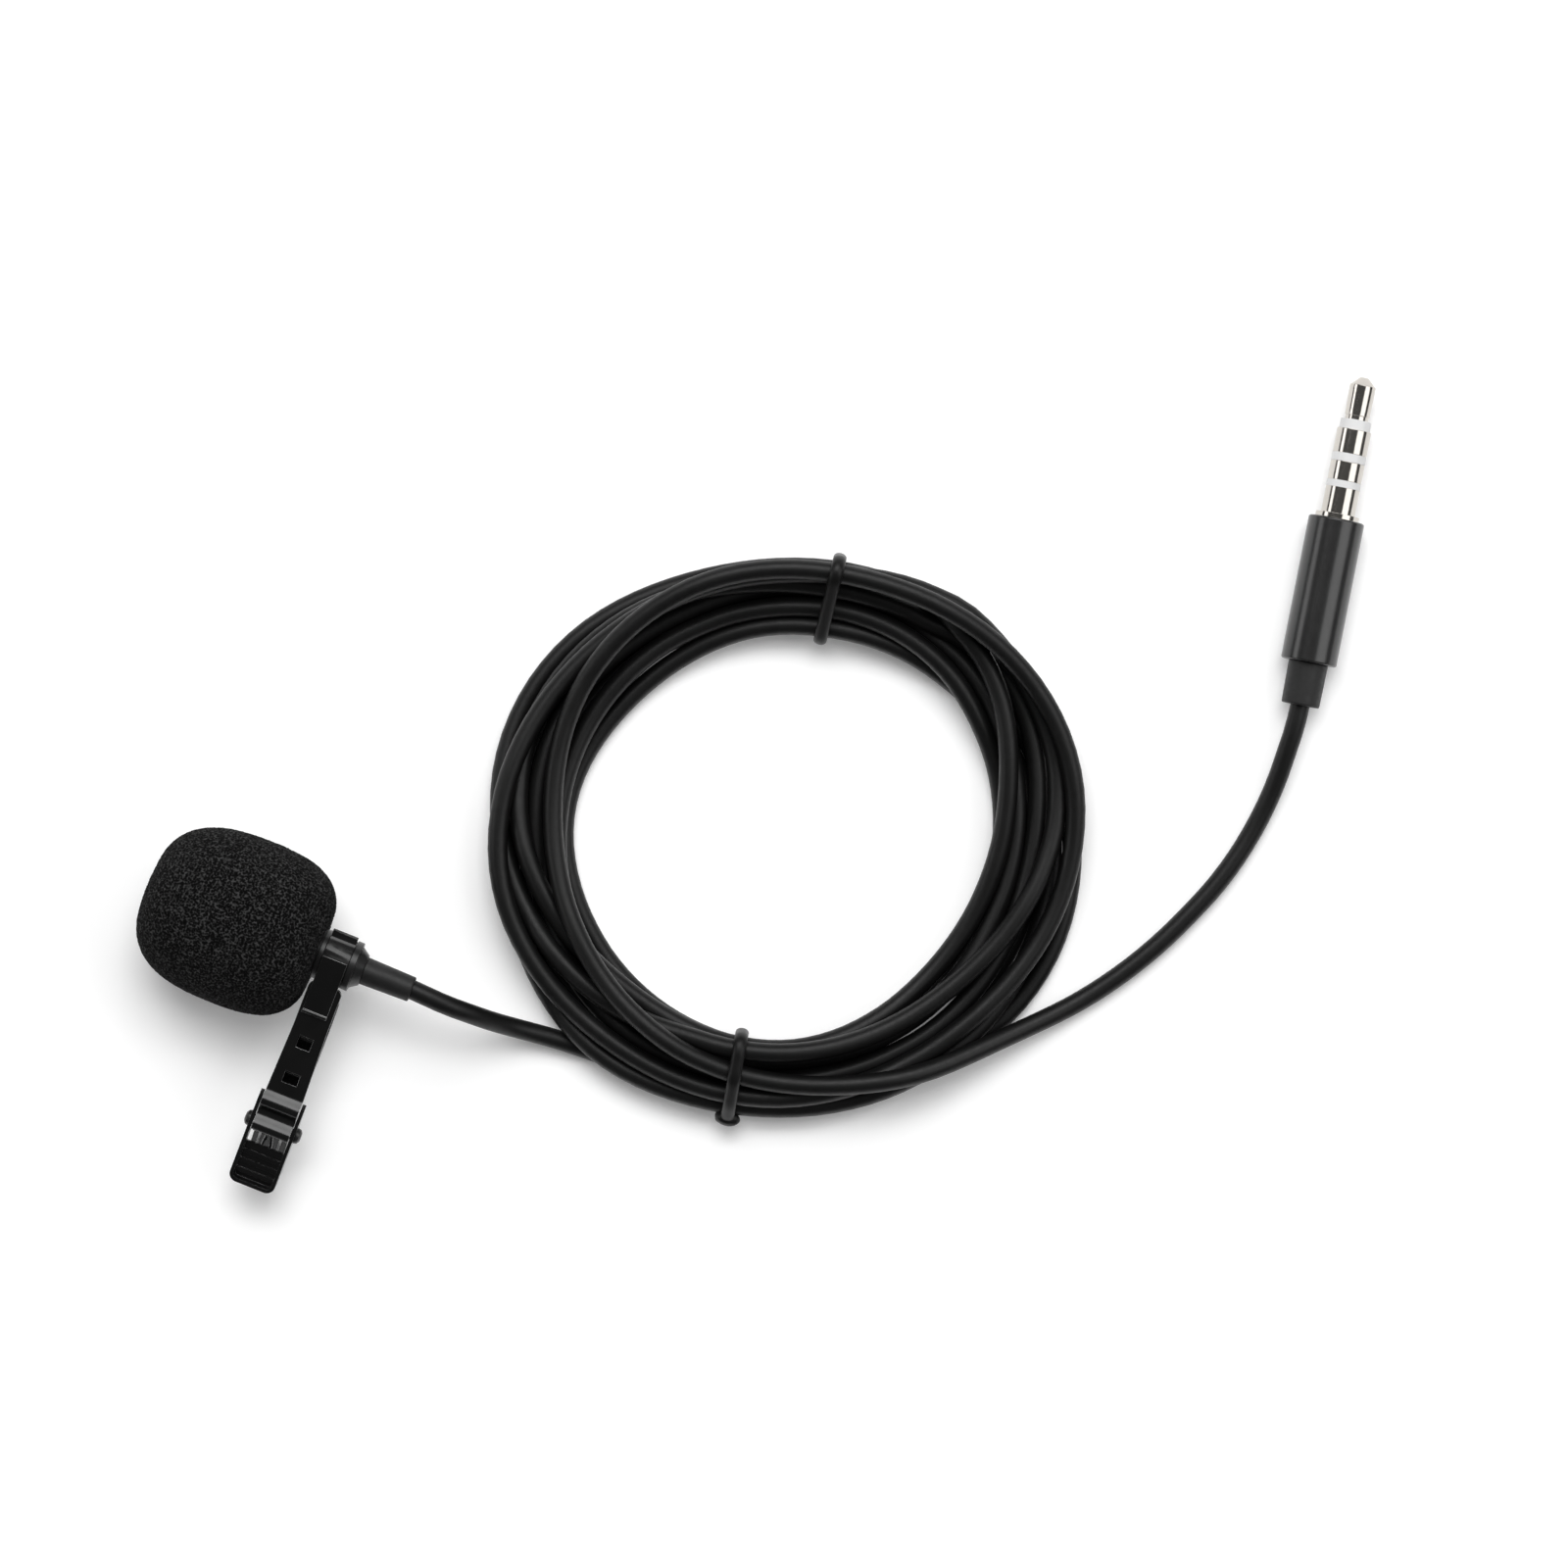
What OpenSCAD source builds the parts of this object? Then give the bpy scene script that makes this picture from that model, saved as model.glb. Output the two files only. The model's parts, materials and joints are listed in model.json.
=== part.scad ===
// Clip-on lavalier microphone with a foam windscreen, a coiled cord held by two
// loops, and a four-pole 3.5 mm plug. Millimetres, +Z up. The object lies on z = 0.
// +X runs along the barrel from the nose to the cord. The clip points along -Y.

/* [Microphone] */
// Outside diameter of the foam windscreen
foam_d = 17.4; // [15:0.2:19]
// Length of the foam windscreen
foam_len = 18.3; // [16:0.1:21]
// Diameter of the two flanges of the barrel
flange_d = 5.15; // [5.0:0.05:5.4]
// Diameter of the journal that the clip ring turns on
journal_d = 4.4; // [4.2:0.05:4.5]
// Length of the journal between the flanges
journal_len = 2.75; // [2.6:0.05:3.0]
// Length of the head that the windscreen slips over
head_len = 8.2; // [7.5:0.1:9]
// Length of the strain relief behind the barrel
mic_relief_len = 5.2; // [4:0.1:8]

/* [Clip] */
// Angle by which the clip droops until its rear handle rests on the surface
clip_tilt = 11; // [8:0.5:11]
// Distance from the barrel axis to the pivot pin
pivot_reach = 18.2; // [17.8:0.1:18.4]
// Width of the front strip at its wide end
strip_w = 4.0; // [3.8:0.05:4.0]
// Thickness of the front strip
strip_t = 0.42; // [0.36:0.02:0.44]
// Height of the two waves of the strip over the pivot
strip_wave = 0.7; // [0.6:0.05:0.8]
// Outside width of the thumb lever
lever_w = 4.85; // [4.75:0.05:5]
// Diameter of the pivot pin
pin_d = 1.2; // [1.1:0.05:1.2]

/* [Cord] */
// Diameter of the cord
cord_d = 2.0; // [1.8:0.1:2.2]
// Inside radius of the coil
coil_r_in = 20.6; // [20:0.1:21]
// Outside radius of the coil
coil_r_out = 29.8; // [29.6:0.1:30.2]
// Height of the coil
coil_h = 7.6; // [6.8:0.1:8.2]
// Thickness of the rubber loops round the coil
tie_d = 1.35; // [1.2:0.05:1.5]

/* [Plug] */
// Diameter of the plug handle
handle_d = 5.7; // [5.5:0.1:6.2]
// Length of the plug handle
handle_len = 14.8; // [14:0.1:16]
// Length of the strain relief of the plug
plug_relief_len = 4.4; // [4:0.1:6]
// Diameter of the contacts of the plug
contact_d = 3.5; // [3.45:0.01:3.55]

/* [Hidden] */

$fn = 64;

// Clearances: between parts that are pressed or glued, and between parts that turn or slide
seat_gap = 0.02;
running_gap = 0.05;

// Stations along the barrel. Zero lies in the rear flange, close to its rear face
flange_t = 0.5;
rear_flange_t = 0.68;
journal_rear = -0.6;
journal_front = journal_rear - journal_len;
head_rear = journal_front - flange_t;
head_front = head_rear - head_len;
rear_face = journal_rear + rear_flange_t;
cap_len = 0.88;
relief_start = rear_face + cap_len;
relief_end = relief_start + mic_relief_len;
head_d = 4.9;
chamber_d = 4.2;
passage_d = 3.4;
chamber_rear = head_front + 4.6;

// The foam's rear face stands just in front of the front flange
foam_rear = head_rear - 0.16;
foam_front = foam_rear - foam_len;
foam_widest = foam_rear - 0.443 * foam_len;

// The thumb lever reaches this far from the barrel axis
lever_end = pivot_reach + 6.5;

// Heights in the clip's own frame, above the barrel axis
pin_z = 1.3;
strip_z = 2.49;
lever_top = 2.3;
lever_floor = 0.95;
floor_t = 0.35;

// Origin: bottom centre of the box round the microphone and its clip
mic_x = -(foam_front + relief_end) / 2;
mic_y = (lever_end * cos(clip_tilt) + lever_top * sin(clip_tilt) - foam_d / 2) / 2;
mic_z = foam_d / 2;

// Centre planes of the ring and of the clip, along the barrel
ring_x = (journal_front + journal_rear) / 2;
clip_x = -1.85;

// Sheet thicknesses and widths of the two pressed parts behind the strip
lever_wall = 0.38;
jaw_w = 3.6;
jaw_t = 0.45;

// Lay of the cord, in row coordinates
coil_centre = [43.7, 36];
tie_upper_angle = 101.5;
tie_lower_angle = 279;
tie_upper_slant = 2;
tie_lower_slant = 5;
mic_lead_route = [
  [16, 7.9, 8.7], [18, 7.8, 8.4], [20, 7.8, 7.4], [21.5, 7.8, 6.2], [23, 7.8, 4.7],
  [24.5, 7.9, 3.2], [26, 8, 2.1], [28, 8.2, 1.2], [30, 8.5, 1], [31.2, 8.9, 1]
];
plug_lead_route = [
  [71.6, 26, 2.6], [74.2, 27.8, 1.8], [76.6, 30.5, 1.15], [79, 33.7, 1], [81, 36.8, 1],
  [82.9, 40.3, 1], [84.5, 43.9, 1], [85.9, 47.6, 1], [86.9, 51.4, 1], [87.5, 55.3, 1.1],
  [87.7, 59.2, 1.6], [87.5, 63, 2.4], [87.3, 65.6, 2.8]
];

// The plug lies on its handle, pointing away from the coil
plug_end = [87, 67.7];
plug_angle = 100.5;
handle_front = plug_relief_len + handle_len;
collar_t = 0.5;
contact_len = 14.1;
plug_tip_x = handle_front + collar_t + contact_len;

// ---------------------------------------------------------------- shared shapes

// Revolves an outline of [radius, station] points about the X axis
module turned(outline) {
  rotate([0, 90, 0]) rotate_extrude() polygon(outline);
}

// A round bar or tube along X between two stations
module bar(d, from, to, hole = 0) {
  translate([from, 0, 0]) rotate([0, 90, 0]) difference() {
    cylinder(d = d, h = to - from);
    if (hole > 0) translate([0, 0, -1]) cylinder(d = hole, h = to - from + 2);
  }
}

// A straight wire between two points
module wire(a, b, d) {
  v = b - a;
  len = norm(v);
  translate(a) rotate([0, acos(v.z / len), atan2(v.y, v.x)]) cylinder(d = d, h = len, $fn = 16);
}

// Solid bounded by a side view, drawn as [reach, height], and lying across the clip
module side_slab(outline, width) {
  translate([clip_x - width / 2, 0, 0]) rotate([90, 0, 90])
    linear_extrude(width) mirror([1, 0]) polygon(outline);
}

// Rectangle in plan with round corners, from one reach to another
module rounded_plan(width, from, to, r) {
  for (side = [-1, 1]) translate([side * (width / 2 - r), 0]) for (y = [from + r, to - r])
    translate([0, -y]) circle(r, $fn = 32);
  translate([-width / 2, -to + r]) square([width, to - from - 2 * r]);
  translate([-width / 2 + r, -to]) square([width - 2 * r, to - from]);
}

// Tube swept along a list of points. The first and last rings face the given directions.
function unit(v) = v / norm(v);
function tangent(path, i, first, last) =
  i == 0 ? unit(first)
  : i == len(path) - 1 ? unit(last)
  : unit(path[i + 1] - path[i - 1]);
function ring_at(centre, dir, r, sides) =
  let (
    ref = abs(dir.z) > 0.9 ? [0, 1, 0] : [0, 0, 1],
    a = unit(cross(ref, dir)),
    b = cross(dir, a)
  )
  [for (k = [0 : sides - 1]) centre + r * (cos(360 * k / sides) * a + sin(360 * k / sides) * b)];

module swept_tube(path, d, sides, first, last) {
  n = len(path);
  rings = [for (i = [0 : n - 1]) each ring_at(path[i], tangent(path, i, first, last), d / 2, sides)];
  start_cap = [for (k = [0 : sides - 1]) k];
  end_cap = [for (k = [sides - 1 : -1 : 0]) (n - 1) * sides + k];
  walls = [for (i = [0 : n - 2]) for (k = [0 : sides - 1]) let (m = (k + 1) % sides) each [
    [i * sides + k, (i + 1) * sides + k, (i + 1) * sides + m],
    [i * sides + k, (i + 1) * sides + m, i * sides + m]
  ]];
  polyhedron(points = rings, faces = concat([start_cap, end_cap], walls), convexity = 4);
}

module on_barrel() {
  translate([mic_x, mic_y, mic_z]) children();
}

module on_clip() {
  on_barrel() rotate([clip_tilt, 0, 0]) children();
}

module on_plug() {
  translate([plug_end.x, plug_end.y, handle_d / 2]) rotate([0, 0, plug_angle]) children();
}

// ---------------------------------------------------------------- microphone

// Fullness of the windscreen: a rounded barrel with a blunt nose and a flat rear face
function foam_r(x) =
  x < foam_widest
    ? foam_d / 2 * pow(1 - pow((foam_widest - x) / (foam_widest - foam_front), 2.7), 1 / 3.1)
    : foam_d / 2 * pow(1 - pow((x - foam_widest) / (1.037 * (foam_rear - foam_widest)), 2.6), 1 / 4);

module windscreen() {
  steps = 26;
  span = foam_rear - foam_front;
  bore_d = head_d + 2 * running_gap;
  side = [for (i = [0 : steps]) let (x = foam_front + span * (1 - cos(180 * i / steps)) / 2) [foam_r(x), x]];
  color([0.12, 0.12, 0.12]) on_barrel() difference() {
    turned(concat([[0, foam_front]], [for (i = [1 : steps]) side[i]], [[0, foam_rear]]));
    bar(bore_d, head_front - 0.3, foam_rear + 1);
  }
}

module mic_housing() {
  color([0.2, 0.2, 0.21]) on_barrel() turned([
    [chamber_d / 2, head_front], [head_d / 2 - 0.2, head_front], [head_d / 2, head_front + 0.2],
    [head_d / 2, head_rear], [flange_d / 2, head_rear], [flange_d / 2, journal_front],
    [journal_d / 2, journal_front], [journal_d / 2, journal_rear], [flange_d / 2, journal_rear],
    [flange_d / 2, rear_face], [passage_d / 2, rear_face], [passage_d / 2, chamber_rear],
    [chamber_d / 2, chamber_rear]
  ]);
}

// Pierced plate that closes the mouth of the head
module front_grille() {
  grille_d = chamber_d - 2 * seat_gap;
  hole_pitch = 0.85;
  color([0.25, 0.25, 0.26]) on_barrel() translate([head_front, 0, 0]) rotate([0, 90, 0])
    linear_extrude(0.3) difference() {
      circle(d = grille_d);
      circle(d = 0.5, $fn = 24);
      for (ring = [1, 2]) for (k = [0 : 6 * ring - 1])
        rotate(60 * k / ring) translate([ring * hole_pitch, 0]) circle(d = 0.5, $fn = 24);
    }
}

module dust_felt() {
  color([0.1, 0.1, 0.1]) on_barrel() bar(chamber_d - 2 * seat_gap, head_front + 0.32, head_front + 0.68);
}

capsule_front = head_front + 0.7;
capsule_rear = capsule_front + 2.9;
can_d = 3.7;

// Rubber sleeve between the capsule and the housing
module capsule_boot() {
  color([0.15, 0.15, 0.15]) on_barrel()
    bar(chamber_d - 2 * seat_gap, capsule_front, capsule_rear + 0.3, can_d + 2 * seat_gap);
}

module capsule_can() {
  wall = 0.15;
  color([0.75, 0.76, 0.77]) on_barrel() difference() {
    bar(can_d, capsule_front, capsule_rear);
    bar(can_d - 2 * wall, capsule_front + wall, capsule_rear + 1);
    bar(0.8, capsule_front - 1, capsule_front + 1);
  }
}

inner_d = can_d - 0.3 - 2 * seat_gap;

// Metal ring with the stretched film across it
module diaphragm() {
  color([0.85, 0.75, 0.45]) on_barrel() {
    bar(inner_d, capsule_front + 0.17, capsule_front + 0.42, inner_d - 0.7);
    bar(inner_d, capsule_front + 0.42, capsule_front + 0.47);
  }
}

module backplate() {
  color([0.8, 0.7, 0.4]) on_barrel() translate([capsule_front + 0.56, 0, 0]) rotate([0, 90, 0])
    linear_extrude(0.25) difference() {
      circle(d = inner_d - 0.7);
      for (k = [0 : 3]) rotate(90 * k) translate([0.8, 0]) circle(d = 0.35, $fn = 20);
    }
}

// Insulating cup that holds the backplate away from the can
module backplate_holder() {
  color([0.9, 0.9, 0.88]) on_barrel() {
    bar(inner_d, capsule_front + 0.56, capsule_rear - 0.5, inner_d - 0.66);
    bar(inner_d - 0.6, capsule_front + 0.83, capsule_front + 1.05, 1.2);
  }
}

module capsule_board() {
  color([0.1, 0.35, 0.2]) on_barrel() {
    bar(inner_d, capsule_rear - 0.48, capsule_rear - 0.08);
    for (side = [-1, 1]) translate([0, side * 0.7, 0]) bar(0.9, capsule_rear - 0.08, capsule_rear + 0.04);
  }
}

// Transistor that buffers the capsule
module jfet() {
  body_l = 1.2;
  body_w = 0.9;
  color([0.08, 0.08, 0.08]) on_barrel()
    translate([capsule_rear - 1, -body_l / 2, -body_w / 2]) cube([0.5, body_l, body_w]);
}

module lead_wires() {
  inner_end = relief_start - 2.6;
  color([0.75, 0.2, 0.15]) on_barrel() for (side = [-1, 1])
    wire([capsule_rear + 0.06, side * 0.7, 0], [inner_end - 0.02, side * 0.4, 0], 0.45);
}

neck_d = 2.4;
neck_hole_d = neck_d + 2 * seat_gap;

// Cone that closes the back of the barrel
module rear_cap() {
  spigot_len = 0.8;
  color([0.17, 0.17, 0.18]) on_barrel() turned([
    [neck_hole_d / 2, rear_face - spigot_len], [passage_d / 2 - seat_gap, rear_face - spigot_len],
    [passage_d / 2 - seat_gap, rear_face], [journal_d / 2, rear_face],
    [1.6, relief_start], [neck_hole_d / 2, relief_start]
  ]);
}

// Brass ring that stops the cord from pulling out
module cord_crimp() {
  color([0.8, 0.65, 0.3]) on_barrel()
    bar(passage_d - 0.2, relief_start - 2.3, relief_start - 1.72, neck_hole_d);
}

module mic_strain_relief() {
  color([0.1, 0.1, 0.1]) on_barrel() turned([
    [0, relief_start - 2.6], [neck_d / 2, relief_start - 2.6], [neck_d / 2, relief_start],
    [1.42, relief_start], [1.3, relief_end - 0.1], [1.2, relief_end], [0, relief_end]
  ]);
}

// ---------------------------------------------------------------- clip

ring_bore_d = journal_d + 2 * running_gap;
ring_t = 0.32;
ring_r = ring_bore_d / 2 + ring_t;
ring_w = journal_len - 2 * running_gap;
ring_open_top = 15;
ring_open_bottom = -55;

// Snap ring, open towards +Y, with a flared lip at each end
module holder_ring() {
  lip_len = 1.15;
  color([0.22, 0.22, 0.23]) on_clip() translate([ring_x - ring_w / 2, 0, 0]) {
    rotate([0, 90, 0])
      rotate_extrude(angle = 360 - ring_open_top + ring_open_bottom, start = 90 + ring_open_top)
        translate([ring_bore_d / 2, 0]) square([ring_t, ring_w]);
    rotate([ring_open_top, 0, 0]) translate([0, ring_r - ring_t, 0])
      rotate([12, 0, 0]) cube([ring_w, lip_len, ring_t]);
    rotate([ring_open_bottom, 0, 0]) translate([0, ring_r - ring_t, -ring_t])
      rotate([-12, 0, 0]) cube([ring_w, lip_len, ring_t]);
  }
}

strap_t = 0.36;

// Narrow strap that joins the ring to the front strip, with a rolled end
module ring_strap() {
  strap_w = ring_w - 0.02;
  strap_top = strip_z + seat_gap + strap_t;
  strap_reach = 5.4;
  overlap = 0.6;
  roll_r = 0.24;
  color([0.12, 0.12, 0.12]) on_clip() translate([ring_x - strap_w / 2, 0, 0]) difference() {
    union() {
      translate([0, -strap_reach, strap_top - strap_t]) cube([strap_w, strap_reach + overlap, strap_t]);
      translate([0, -strap_reach, strip_z + seat_gap + roll_r]) rotate([0, 90, 0])
        cylinder(r = roll_r, h = strap_w, $fn = 24);
    }
    bar(2 * (ring_r + seat_gap), -1, strap_w + 1);
  }
}

strip_start = 2.3;
strip_end = 18.75;
wave_pitch = 2.7;
first_crest = 15.55;
wave_from = first_crest - wave_pitch / 2;

// Height of the strip's top face: flat, then two waves over the pivot
function strip_top(reach) =
  reach < wave_from
    ? strip_z
    : strip_z + strip_wave / 2 * (1 + cos(360 * (reach - first_crest) / wave_pitch));

// The two windows in the strip: [reach of the centre, width, height]
windows = [[8.65, 1.45, 1.3], [12.55, 1.6, 1.2]];

// Plan of the strip: narrow with round corners at the ring, wide over the pivot
module strip_plan() {
  narrow = strip_w / 2 - 0.25;
  wide = strip_w / 2;
  corner = 0.6;
  taper_from = 7;
  taper_to = 15;
  for (side = [-1, 1]) translate([side * (narrow - corner), -strip_start - corner]) circle(corner, $fn = 32);
  polygon([
    [-narrow + corner, -strip_start], [-narrow, -strip_start - corner], [-narrow, -taper_from],
    [-wide, -taper_to], [-wide, -strip_end], [wide, -strip_end], [wide, -taper_to],
    [narrow, -taper_from], [narrow, -strip_start - corner], [narrow - corner, -strip_start]
  ]);
}

// Two pointed teeth bent down from the near edge of a window
module window_teeth(window) {
  tooth_w = window[1] / 2 - 0.1;
  tooth_len = 0.95;
  edge = window[0] - window[2] / 2;
  for (side = [-1, 1]) translate([clip_x + side * window[1] / 4, -edge + 0.2, strip_z - 0.15])
    rotate([90, 0, 0]) linear_extrude(0.4)
      polygon([[-tooth_w / 2, 0], [0, -tooth_len], [tooth_w / 2, 0]]);
}

module front_strip() {
  wave_steps = 24;
  waves = [for (i = [0 : wave_steps]) wave_from + (strip_end - wave_from) * i / wave_steps];
  top = concat([[strip_start, strip_z]], [for (reach = waves) [reach, strip_top(reach)]]);
  under = [for (i = [len(top) - 1 : -1 : 0]) [top[i].x, top[i].y - strip_t]];
  color([0.1, 0.1, 0.1]) on_clip() {
    intersection() {
      side_slab(concat(top, under), strip_w);
      translate([clip_x, 0, 0]) linear_extrude(10) difference() {
        strip_plan();
        for (window = windows) translate([-window[1] / 2, -window[0] - window[2] / 2])
          square([window[1], window[2]]);
      }
    }
    for (window = windows) window_teeth(window);
  }
}

lever_in_w = lever_w - 2 * lever_wall;
tray_start = 20.55;

// Channel with two ears for the pin, and a ribbed thumb tray behind them
module thumb_lever() {
  corner = 0.9;
  rib_w = 0.44;
  rib_h = 0.35;
  side_view = [
    [14.6, 2.3], [16, 2.65], [pivot_reach, 2.8], [20.1, 2.65], [lever_end, lever_top],
    [lever_end, lever_floor - floor_t], [20.4, lever_floor - floor_t], [19.3, 0.2], [18.7, 0.02],
    [17.8, 0.02], [17, 0.5], [15.8, 1.7]
  ];
  color([0.16, 0.16, 0.16]) on_clip() {
    difference() {
      intersection() {
        side_slab(side_view, lever_w);
        translate([clip_x, 0, -5]) linear_extrude(20) rounded_plan(lever_w, 10, lever_end, corner);
      }
      translate([clip_x, 0, lever_floor]) linear_extrude(20)
        rounded_plan(lever_in_w, 12, lever_end - lever_wall, corner - lever_wall);
      translate([clip_x - lever_in_w / 2, -tray_start, -5]) cube([lever_in_w, 8, 10]);
      translate([0, -pivot_reach, pin_z]) bar(pin_d + 2 * seat_gap, -10, 10);
    }
    for (reach = [21.6, 22.6, 23.6])
      translate([clip_x - lever_in_w / 2 - 0.05, -reach - rib_w / 2, lever_floor - 0.05])
        cube([lever_in_w + 0.1, rib_w, rib_h]);
  }
}

// Rivet through the ears, with a domed head at each end
module pivot_pin() {
  head_r = 0.85;
  half = lever_w / 2 + seat_gap;
  head_t = 0.55;
  color([0.3, 0.3, 0.3]) on_clip() translate([clip_x, -pivot_reach, pin_z]) turned([
    [0, -half - head_t], [0.45, -half - head_t], [head_r - 0.1, -half - head_t + 0.2], [head_r, -half],
    [pin_d / 2, -half], [pin_d / 2, half], [head_r, half], [head_r - 0.1, half + head_t - 0.2],
    [0.45, half + head_t], [0, half + head_t]
  ]);
}

spring_d = 0.35;
spring_r = 0.86;
jaw_angle = 32;

// Point on the spring's coil, or on a leg that leaves it along a tangent
function on_coil(x, a) = [clip_x + x, -pivot_reach - spring_r * cos(a), pin_z + spring_r * sin(a)];

// Double torsion spring: a leg on the rear handle, a coil, a loop under the thumb tray,
// the second coil and the second leg, all in one wire
module torsion_spring() {
  coil_out = 1.1;
  coil_in = 0.24;
  leg_angle = -90 - jaw_angle;
  loop_angle = 50;
  turn_steps = 30;
  total = leg_angle - (loop_angle - 720 - 360);
  leg_len = 4.2;
  leg_end = on_coil(-coil_out, leg_angle) + leg_len * [0, -cos(jaw_angle), -sin(jaw_angle)];
  coil = [for (i = [0 : turn_steps])
    on_coil(-coil_out + (coil_out - coil_in) * i / turn_steps, leg_angle - total * i / turn_steps)];
  loop = [
    [clip_x - 0.3, -19.5, 1.33], [clip_x - 0.4, -20.15, 0.75], [clip_x - 0.42, -20.45, 0.48],
    [clip_x - 0.42, -20.75, 0.38], [clip_x - 0.3, -21.05, 0.38]
  ];
  half = concat([leg_end, (leg_end + coil[0]) / 2], coil, loop);
  other_half = [for (i = [len(half) - 1 : -1 : 0]) [2 * clip_x - half[i].x, half[i].y, half[i].z]];
  along_leg = coil[0] - leg_end;
  color([0.7, 0.7, 0.7]) on_clip()
    swept_tube(concat(half, other_half), spring_d, 8, along_leg, [0, -along_leg.y, -along_leg.z]);
}

jaw_tip = 3.05;
jaw_end = 24.2;

// Rear jaw: a bent plate with a toothed tip, two ears on the pin and a handle behind it
module rear_jaw() {
  ear_r = 1.05;
  handle_slope = tan(jaw_angle);
  bend = [17.6, 0.4];
  top = [
    [jaw_tip, 1.9], [3.9, 1.9], [5.5, 1.1], [8, 0.75], [16.6, 0.45], bend,
    [jaw_end, bend.y - (jaw_end - bend.x) * handle_slope]
  ];
  under = [
    [jaw_end - jaw_t * sin(jaw_angle), top[6].y - jaw_t * cos(jaw_angle)], [bend.x - 0.1, bend.y - jaw_t],
    [16.5, 0], [7.8, 0.3], [5.3, 0.65], [3.7, 1.45], [jaw_tip, 1.45]
  ];
  color([0.14, 0.14, 0.14]) on_clip() difference() {
    union() {
      intersection() {
        side_slab(concat(top, under), jaw_w);
        translate([clip_x, 0, -20]) linear_extrude(40) rounded_plan(jaw_w, jaw_tip, jaw_end, 0.9);
      }
      for (side = [-1, 1]) translate([side * (jaw_w - jaw_t) / 2, 0, 0]) {
        side_slab([[16.3, 0.2], [17.25, 1.6], [19.15, 1.6], [19.2, -0.8], [17.5, 0.1]], jaw_t);
        translate([clip_x, -pivot_reach, pin_z]) bar(2 * ear_r, -jaw_t / 2, jaw_t / 2);
      }
    }
    translate([0, -pivot_reach, pin_z]) bar(pin_d + 2 * running_gap, -10, 10);
    for (notch = [-1 : 1]) translate([clip_x + 0.8 * notch, -jaw_tip, 0])
      linear_extrude(3) polygon([[-0.3, 0.1], [0.3, 0.1], [0, -0.5]]);
  }
}

// ---------------------------------------------------------------- cord

module cord_mic_lead() {
  exit = [mic_x + relief_end, mic_y, mic_z];
  route = concat([exit], mic_lead_route);
  last = len(route) - 1;
  color([0.1, 0.1, 0.1])
    swept_tube(route, cord_d, 8, [1, 0, 0], route[last] - route[last - 1]);
}

// Outer shape of the wound cord
module cord_coil() {
  width = coil_r_out - coil_r_in;
  corner = 2;
  color([0.1, 0.1, 0.1]) translate([coil_centre.x, coil_centre.y, 0]) rotate_extrude($fn = 128)
    translate([coil_r_in, 0]) {
      for (x = [corner, width - corner]) for (y = [corner, coil_h - corner])
        translate([x, y]) circle(corner, $fn = 32);
      translate([corner, 0]) square([width - 2 * corner, coil_h]);
      translate([0, corner]) square([width, coil_h - 2 * corner]);
    }
}

module cord_plug_lead() {
  plug_dir = [cos(plug_angle), sin(plug_angle), 0];
  route = concat(plug_lead_route, [[plug_end.x, plug_end.y, handle_d / 2]]);
  color([0.1, 0.1, 0.1]) swept_tube(route, cord_d, 8, route[1] - route[0], plug_dir);
}

// Rubber loop round the coil, at an angle round it and slanted across it
module tie(angle, slant) {
  loop_w = coil_r_out - coil_r_in + 0.6;
  loop_h = coil_h + 0.6;
  corner = 2.4;
  translate([coil_centre.x, coil_centre.y, 0]) rotate(angle)
    translate([(coil_r_in + coil_r_out) / 2, 0, 0]) rotate(slant) rotate([90, 0, 0])
      translate([0, 0, -tie_d / 2]) linear_extrude(tie_d) difference() {
        translate([0, loop_h]) rounded_plan(loop_w, 0, loop_h, corner);
        translate([0, loop_h]) rounded_plan(loop_w - 2 * tie_d, tie_d, loop_h - tie_d / 2, corner - tie_d);
      }
}

module tie_upper() {
  color([0.13, 0.13, 0.13]) tie(tie_upper_angle, tie_upper_slant);
}

// The lower loop ends in a knob on the outside of the coil
module tie_lower() {
  knob_d = 2.4;
  color([0.13, 0.13, 0.13]) {
    tie(tie_lower_angle, tie_lower_slant);
    translate([coil_centre.x, coil_centre.y, knob_d / 2 + 0.3]) rotate(tie_lower_angle)
      translate([coil_r_out + 0.3, 0, 0]) sphere(d = knob_d, $fn = 32);
  }
}

// ---------------------------------------------------------------- plug

// The insulator next to the tip is thinner than the rings by this much
front_insulator_step = 0.35;

// Ends of the contacts and insulators, counted back from the tip
tip_neck = 3.95;
stations = [4.4, 5.4, 7.9, 8.75, 10.7, 11.4];
function from_tip(s) = plug_tip_x - s;

// Diameters of the nested tubes that carry the contacts back into the handle
core_d = [0.9, 1.3, 1.7, 2.0, 2.4, 2.7];
tail_end = [12.4, 13.2, 13.8, 14.4, 15, 15.6];

// One contact or insulator of the plug, with its tube inside the next ones
module plug_segment(i, d) {
  hole = core_d[i - 1] + 2 * seat_gap;
  on_plug() {
    bar(d, from_tip(stations[i]), from_tip(stations[i - 1]), hole);
    bar(core_d[i], tail_end[i], from_tip(stations[i]) + 0.1, hole);
  }
}

module plug_tip() {
  color([0.85, 0.84, 0.82]) on_plug() turned([
    [0, tail_end[0]], [core_d[0] / 2, tail_end[0]], [core_d[0] / 2, from_tip(stations[0])],
    [1.2, from_tip(stations[0])], [1.2, from_tip(tip_neck)], [1.28, from_tip(tip_neck)],
    [1.35, from_tip(0.85)], [0.45, from_tip(0)], [0, from_tip(0)]
  ]);
}

module plug_insulator_1() {
  color([0.93, 0.93, 0.92]) plug_segment(1, contact_d - front_insulator_step);
}

module plug_ring_1() {
  color([0.85, 0.84, 0.82]) plug_segment(2, contact_d);
}

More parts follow.
